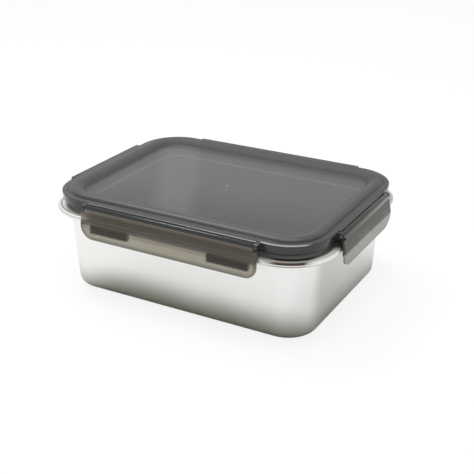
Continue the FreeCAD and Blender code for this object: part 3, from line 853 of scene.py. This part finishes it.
class LUNCHBOX_OT_lid(bpy.types.Operator):
    """Sweep the lid's rim with its crown, skirt and seal channel, close its panel and add the hinge ears."""

    bl_idname = "lunch_box.lid"
    bl_label = "Smoky lid"

    def execute(self, context):
        tub = context.scene.lunch_box_tub
        lid = context.scene.lunch_box_lid
        latch = context.scene.lunch_box_latch
        edge = lid.edge
        fold = edge - lid.ledge_width
        crest = fold - lid.crown_run
        crown = lid.ledge + lid.crown_rise
        inside = -lid.panel_edge
        bow_out = (lid.crown_run ** 2 + lid.crown_rise ** 2) / (2 * lid.crown_rise)
        fall = crown - lid.panel
        run = crest - inside
        bow_in = (run ** 2 + fall ** 2) / (2 * fall)
        sweep_in = math.degrees(math.asin(run / bow_in))
        sweep_out = math.degrees(math.asin(lid.crown_run / bow_out))
        corners = [(inside - FLAT_REACH, lid.panel, 0.0), (inside, lid.panel, PANEL_ROUND)]
        corners += arc_line((crest, crown - bow_in), bow_in, 90.0 + sweep_in, 90.0, CROWN_STEPS_IN)
        corners += arc_line((crest, crown - bow_out), bow_out, 90.0, 90.0 - sweep_out, CROWN_STEPS_OUT)
        corners += [
            (edge, lid.ledge, lid.edge_round),
            (edge - lid.skirt_lean, lid.skirt_foot, SKIRT_ROUND),
            (edge - lid.skirt_lean - SKIRT_WALL, lid.skirt_foot, SKIRT_ROUND),
            (edge - SKIRT_WALL, lid.ledge - LEDGE_WALL, LEDGE_ROUND),
            (CHANNEL_OUTER, lid.ledge - LEDGE_WALL, LEDGE_ROUND),
            (CHANNEL_OUTER, CHANNEL_FOOT, CHANNEL_ROUND),
            (CHANNEL_INNER, CHANNEL_FOOT, CHANNEL_ROUND),
            (CHANNEL_INNER, lid.ledge - ROOF_WALL, 0.0),
            (inside + PLUG_WALL, lid.ledge - ROOF_WALL, 0.0),
            (inside + PLUG_WALL, PLUG_FOOT, PLUG_ROUND),
            (inside, PLUG_FOOT, PLUG_ROUND),
            (inside, lid.panel - PANEL_WALL, PANEL_ROUND),
            (inside - FLAT_REACH, lid.panel - PANEL_WALL, 0.0),
        ]
        mesh = swept_mesh("lid_cover", rounded_line(corners), tub, smoky_lid(lid, tub))
        shape = bmesh.new()
        shape.from_mesh(mesh)
        close_ends(shape)
        for side, turn in SIDES.items():
            long_side = side in ("front", "back")
            half = (tub.base_width if long_side else tub.base_length) / 2
            reach = (latch.long_side if long_side else latch.short_side) / 2
            for along in (reach - EAR_WIDTH, -reach):
                add_ear(shape, turn, half, along, EAR_WIDTH, latch, edge - lid.skirt_lean)
            add_lip(shape, turn, half + edge, lid.ledge, reach - EAR_WIDTH)
        shape.to_mesh(mesh)
        shape.free()
        smooth(mesh)
        show("lid_cover", mesh, "lid", "lid_plastic", "lid_shell")
        return {"FINISHED"}


def plate_rows(latch):
    """Heights of the plate's rows, and how far its outer face stands from the axis at each."""
    top, bend, low = PLATE_TOP, PLATE_BEND, PLATE_FOOT
    heights = [top - row for row in ROWS_BELOW_TOP] + [bend + row for row in ROWS_ROUND_BEND]
    heights.append(low + latch.corner + ROW_ABOVE_CORNER)
    for index in range(CORNER_STEPS + 1):
        angle = math.radians(90.0 * index / CORNER_STEPS)
        heights.append(low + latch.corner * (1.0 - math.sin(angle)))
    rows = []
    for up in heights:
        end, end_out = (top, PLATE_TOP_OUT) if up >= bend else (low, PLATE_FOOT_OUT)
        out = PLATE_BEND_OUT + (end_out - PLATE_BEND_OUT) * (up - bend) / (end - bend)
        if abs(up - bend) < BEND_REACH:
            out -= BEND_SOFTENING * (1.0 - abs(up - bend) / BEND_REACH)
        rows.append((up, out))
    return rows


def add_plate(shape, size, latch, layers, short):
    """The bent plate with its rounded lower corners, front and back faces and the wall between them."""
    rows = plate_rows(latch)
    sheets = []
    for inset in (0.0, latch.wall):
        grid = []
        for up, out in rows:
            rise = min(up - PLATE_FOOT, latch.corner)
            drop = latch.corner - rise
            half = size / 2 - latch.corner + math.sqrt(max(latch.corner ** 2 - drop ** 2, 0.0))
            inner = half - PLATE_BORDER
            right = [half * column / PLATE_COLUMNS for column in range(PLATE_COLUMNS - 1)]
            right += [inner - BORDER_SOFTENING, inner, half]
            line = []
            for place in [-value for value in reversed(right[1:])] + right:
                vertex = shape.verts.new((place, out - inset, up))
                at_edge = abs(place) >= inner - TOLERANCE or up - PLATE_FOOT < PLATE_BORDER
                vertex[layers["border"]] = float(at_edge)
                vertex[layers["lip"]] = float(short and up < SHORT_LIP_TOP)
                vertex[layers["end"]] = float(short)
                line.append(vertex)
            grid.append(line)
        sheets.append(grid)
    front, back = sheets
    count = len(rows)
    wide = len(front[0])
    for row in range(count - 1):
        for column in range(wide - 1):
            a, b = front[row][column], front[row][column + 1]
            c, d = front[row + 1][column + 1], front[row + 1][column]
            shape.faces.new((a, d, c, b))
            a, b = back[row][column], back[row][column + 1]
            c, d = back[row + 1][column + 1], back[row + 1][column]
            shape.faces.new((a, b, c, d))
    loop = [(0, column) for column in range(wide)]
    loop += [(row, wide - 1) for row in range(1, count)]
    loop += [(count - 1, column) for column in range(wide - 2, -1, -1)]
    loop += [(row, 0) for row in range(count - 2, 0, -1)]
    for index in range(len(loop)):
        here, then = loop[index - 1], loop[index]
        shape.faces.new((
            front[here[0]][here[1]], front[then[0]][then[1]], back[then[0]][then[1]], back[here[0]][here[1]]
        ))


def add_barrel(shape, half, latch, layers, short):
    """The hinge barrel, a tube along X."""
    rings = []
    for along in (-half, half):
        for radius in (latch.barrel, latch.bore):
            ring = []
            for index in range(BARREL_SIDES):
                angle = math.radians(360.0 * index / BARREL_SIDES)
                ring.append(shape.verts.new((along, radius * math.cos(angle), radius * math.sin(angle))))
                ring[-1][layers["hinge"]] = 1.0
                ring[-1][layers["end"]] = float(short)
            rings.append(ring)
    faces = []
    for one, two in ((0, 2), (2, 3), (3, 1), (1, 0)):
        for index in range(BARREL_SIDES):
            faces.append(shape.faces.new((
                rings[one][index - 1], rings[one][index], rings[two][index], rings[two][index - 1]
            )))
    bmesh.ops.recalc_face_normals(shape, faces=faces)


class LUNCHBOX_OT_latches(bpy.types.Operator):
    """Mould the four latches: a bent plate, a hinge barrel and a pair of catch lugs on each."""

    bl_idname = "lunch_box.latches"
    bl_label = "Latches"

    def execute(self, context):
        tub = context.scene.lunch_box_tub
        latch = context.scene.lunch_box_latch
        finish = smoky_latch(latch)
        for side, turn in SIDES.items():
            long_side = side in ("front", "back")
            size = latch.long_side if long_side else latch.short_side
            catch = LUG_LONG if long_side else LUG_SHORT
            half = (tub.base_width if long_side else tub.base_length) / 2
            shape = bmesh.new()
            for name in MARKS:
                shape.verts.layers.float.new(name)
            layers = {name: shape.verts.layers.float[name] for name in MARKS}
            add_plate(shape, size, latch, layers, not long_side)
            reach = size / 2 - BARREL_INSET
            add_barrel(shape, reach, latch, layers, not long_side)
            for vertex in add_prism(shape, WEB_SECTION, -reach, reach):
                vertex[layers["web"]] = 1.0
                vertex[layers["end"]] = float(not long_side)
            near = size / 2 - LUG_MARGIN
            for start in (near - catch, -near):
                for vertex in add_prism(shape, HOOK_SECTION, start, start + catch):
                    vertex[layers["lug"]] = 1.0
            bmesh.ops.recalc_face_normals(shape, faces=shape.faces)
            mesh = bpy.data.meshes.new(f"{side}_latch")
            shape.to_mesh(mesh)
            shape.free()
            mesh.materials.append(finish)
            spin = Matrix.Rotation(math.radians(turn), 4, "Z")
            out = spin @ Vector((0.0, half + latch.axis_out, 0.0))
            mesh.transform(Matrix.Translation(out + Vector((0.0, 0.0, latch.axis_up))) @ spin)
            piece = show(f"{side}_latch", mesh, f"latch_{side}_body", "latch_plastic", f"latch_{side}")
            bevel = piece.modifiers.new("Edges", "BEVEL")
            bevel.width = EDGE_BEVEL
            bevel.segments = 3
            bevel.limit_method = "ANGLE"
            bevel.angle_limit = math.radians(EDGE_ANGLE)
            graph = context.evaluated_depsgraph_get()
            rounded = bpy.data.meshes.new_from_object(piece.evaluated_get(graph))
            piece.modifiers.clear()
            piece.data = rounded
            rounded.name = f"{side}_latch"
            smooth(rounded)
        return {"FINISHED"}


class LUNCHBOX_OT_fittings(bpy.types.Operator):
    """Give the seal ring and the hinge pins their finishes."""

    bl_idname = "lunch_box.fittings"
    bl_label = "Seal and pins"

    def execute(self, context):
        seal = seal_silicone()
        wire = bright_steel()
        finishes = {"seal_ring": seal}
        for side in SIDES:
            finishes[f"hinge_pin_{side}"] = wire
        for name, finish in finishes.items():
            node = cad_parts[name]
            node.data.materials.clear()
            node.data.materials.append(finish)
        return {"FINISHED"}


def add_lamp(name, place, aim, size, power):
    """A soft rectangular lamp aimed at a point."""
    data = bpy.data.lights.new(name, "AREA")
    data.shape = "RECTANGLE"
    data.size, data.size_y = size
    data.energy = power
    lamp = bpy.data.objects.new(name, data)
    bpy.context.scene.collection.objects.link(lamp)
    lamp.location = place
    lamp.rotation_euler = (Vector(aim) - Vector(place)).to_track_quat("-Z", "Y").to_euler()


def add_floor(scene):
    """A pale floor that is nearly white to the camera and keeps the shadow."""
    finish = Finish("pale_floor")
    cloud = finish.noise(3.0, 2.0)
    finish.surface(base_color=finish.blend(cloud, FLOOR_DARK, FLOOR_LIGHT), roughness=0.9)
    path = finish.node("ShaderNodeLightPath", {}, {})
    white = finish.node("ShaderNodeEmission", {}, {"Strength": 1.0})
    seen = Flow(finish, path.outputs["Is Camera Ray"]) * FLOOR_GLOW
    mixed = finish.node(
        "ShaderNodeMixShader", {}, {0: seen, 1: finish.shader.outputs[0], 2: white.outputs[0]}
    )
    finish.feed(finish.output.inputs[0], mixed.outputs[0])
    shape = bmesh.new()
    bmesh.ops.create_grid(shape, x_segments=8, y_segments=8, size=FLOOR_SIZE)
    mesh = bpy.data.meshes.new("floor")
    shape.to_mesh(mesh)
    shape.free()
    mesh.materials.append(finish.material)
    mesh.transform(Matrix.Translation((0.0, 0.0, -FLOOR_DROP)))
    floor = bpy.data.objects.new("floor", mesh)
    scene.collection.objects.link(floor)


def add_surround(scene, strength):
    """Even light from all round, seen as white by the camera and through the plastic."""
    world = bpy.data.worlds.new("surround")
    scene.world = world
    world.use_nodes = True
    nodes = world.node_tree.nodes
    links = world.node_tree.links
    nodes.clear()
    path = nodes.new("ShaderNodeLightPath")
    seen = nodes.new("ShaderNodeMath")
    seen.operation = "MAXIMUM"
    links.new(path.outputs["Is Camera Ray"], seen.inputs[0])
    links.new(path.outputs["Is Transmission Ray"], seen.inputs[1])
    mix = nodes.new("ShaderNodeMixShader")
    links.new(seen.outputs[0], mix.inputs[0])
    for index, level in ((1, strength), (2, 1.0)):
        light = nodes.new("ShaderNodeBackground")
        light.inputs["Color"].default_value = (1.0, 1.0, 1.0, 1.0)
        light.inputs["Strength"].default_value = level
        links.new(light.outputs[0], mix.inputs[index])
    result = nodes.new("ShaderNodeOutputWorld")
    links.new(mix.outputs[0], result.inputs[0])


def add_camera(scene, lens):
    """The camera at the photograph's viewpoint."""
    data = bpy.data.cameras.new("camera")
    data.sensor_fit = "HORIZONTAL"
    data.sensor_width = SENSOR_WIDTH
    data.lens = lens
    data.clip_start = 0.01
    camera = bpy.data.objects.new("camera", data)
    scene.collection.objects.link(camera)
    camera.location = CAMERA_PLACE
    camera.rotation_euler = [math.radians(angle) for angle in CAMERA_TURN]
    scene.camera = camera


class LUNCHBOX_OT_stage(bpy.types.Operator):
    """Set the floor, the surround, the lamps and the camera."""

    bl_idname = "lunch_box.stage"
    bl_label = "Studio"

    def execute(self, context):
        scene = context.scene
        stage = scene.lunch_box_stage
        add_floor(scene)
        add_surround(scene, stage.surround)
        add_lamp("overhead", OVERHEAD_PLACE, LAMP_AIM, OVERHEAD_SIZE, stage.key)
        add_lamp("top", TOP_PLACE, LAMP_AIM, TOP_SIZE, stage.key * TOP_SHARE)
        add_camera(scene, stage.lens)
        scene.view_settings.view_transform = "Standard"
        return {"FINISHED"}


STEPS = (LUNCHBOX_OT_tub, LUNCHBOX_OT_lid, LUNCHBOX_OT_latches, LUNCHBOX_OT_fittings, LUNCHBOX_OT_stage)
SETTINGS = {
    "lunch_box_tub": TubSettings,
    "lunch_box_lid": LidSettings,
    "lunch_box_latch": LatchSettings,
    "lunch_box_stage": StageSettings,
}


class LUNCHBOX_PT_parts(bpy.types.Panel):
    """The lunch box's pieces and their settings."""

    bl_idname = "LUNCHBOX_PT_parts"
    bl_label = "Lunch Box"
    bl_space_type = "VIEW_3D"
    bl_region_type = "UI"
    bl_category = "Lunch Box"

    def draw(self, context):
        for step in STEPS:
            self.layout.operator(step.bl_idname)
        for name, group in SETTINGS.items():
            box = self.layout.box()
            for field in group.__annotations__:
                box.prop(getattr(context.scene, name), field)


CLASSES = (*SETTINGS.values(), *STEPS, LUNCHBOX_PT_parts)


def register():
    for item in CLASSES:
        bpy.utils.register_class(item)
    for name, group in SETTINGS.items():
        setattr(bpy.types.Scene, name, bpy.props.PointerProperty(type=group))


def unregister():
    for name in SETTINGS:
        delattr(bpy.types.Scene, name)
    for item in reversed(CLASSES):
        bpy.utils.unregister_class(item)


def main():
    register()
    bpy.ops.lunch_box.tub()
    bpy.ops.lunch_box.lid()
    bpy.ops.lunch_box.latches()
    bpy.ops.lunch_box.fittings()
    bpy.ops.lunch_box.stage()
    bpy.context.view_layer.update()


if __name__ == "__main__":
    main()
